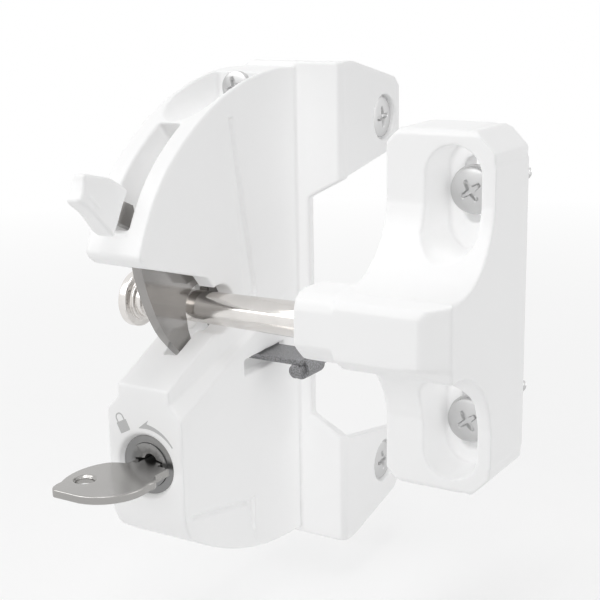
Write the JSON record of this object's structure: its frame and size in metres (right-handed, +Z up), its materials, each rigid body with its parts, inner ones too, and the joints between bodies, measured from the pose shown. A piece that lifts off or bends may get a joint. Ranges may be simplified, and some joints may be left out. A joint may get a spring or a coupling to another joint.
{
  "type": "key lockable gate latch",
  "caption": "Key lockable gate latch that wraps a square post: a hooked steel catch with finger lever holds a round striker rod carried by a screw-on gate bracket.",
  "frame": {"origin": "on the vertical edge of the square post that the latch wraps, half way up the back flange", "axes": "+Z up along the post's edge, -Y to the front away from the post, +X towards the gate"},
  "size_m": [0.1047, 0.137, 0.1494],
  "materials": {
    "white_shell": "smooth satin white moulding",
    "steel_plate": "polished plate",
    "rod_steel": "polished",
    "screw_steel": "satin",
    "lock_metal": "satin nickel",
    "key_metal": "satin nickel plate",
    "release_metal": "galvanised, speckled",
    "spacer_black": "plain"
  },
  "bodies": {
    "frame": {"latch_housing": "white_shell", "back_cover": "white_shell", "cover_screw_ul": "screw_steel", "cover_screw_ur": "screw_steel", "cover_screw_ll": "screw_steel", "cover_screw_lr": "screw_steel", "pivot_pin": "screw_steel", "spacer_left": "spacer_black", "spacer_right": "spacer_black", "lock_shell": "lock_metal", "lock_grub": "lock_metal", "post_screw": "screw_steel", "ear_screw_upper": "screw_steel", "ear_screw_lower": "screw_steel"},
    "catch": {"catch_plate": "steel_plate", "heel_pin": "screw_steel", "finger_lever": "white_shell", "lever_rivet_front": "screw_steel", "lever_rivet_rear": "screw_steel", "return_spring": "screw_steel"},
    "release": {"release_plate": "release_metal", "release_rod": "release_metal"},
    "plug": {"lock_plug": "lock_metal", "lock_cam": "lock_metal", "cam_screw": "screw_steel"},
    "key": {"key": "key_metal"},
    "bar": {"lock_bar": "screw_steel"},
    "striker": {"striker_bracket": "white_shell", "striker_rod": "rod_steel", "rod_grub": "lock_metal", "striker_screw_upper": "screw_steel", "striker_screw_lower": "screw_steel", "striker_washer_upper": "screw_steel", "striker_washer_lower": "screw_steel"}
  },
  "joints": [
    {"name": "catch_lift", "type": "hinge", "parent": "frame", "child": "catch", "pos_m": [-0.0195, -0.0125, 0.012], "axis": [-1, 0, 0], "range_deg": [0, 25], "stiffness_Nm_per_rad": 0.5, "springref_deg": -22.92},
    {"name": "release_slide", "type": "slide", "parent": "frame", "child": "release", "axis": [0, -1, 0], "range_m": [0, 0.0085]},
    {"name": "key_turn", "type": "hinge", "parent": "frame", "child": "plug", "pos_m": [-0.0194, -0.05, -0.0313], "axis": [0, -1, 0], "range_deg": [0, 90]},
    {"name": "key_pull", "type": "slide", "parent": "plug", "child": "key", "axis": [0, -1, 0], "range_m": [0, 0.028]},
    {"name": "bar_slide", "type": "slide", "parent": "frame", "child": "bar", "axis": [0, 0, 1], "range_m": [0, 0.0085]},
    {"name": "gate_gap", "type": "slide", "parent": "frame", "child": "striker", "axis": [1, 0, 0], "range_m": [-0.012, 0.006]}
  ],
  "couplings": [
    {"joint": "release_slide", "follows": "catch_lift", "m_per_rad": 0.01948},
    {"joint": "key_turn", "follows": "bar_slide", "rad_per_m": 184.79}
  ]
}
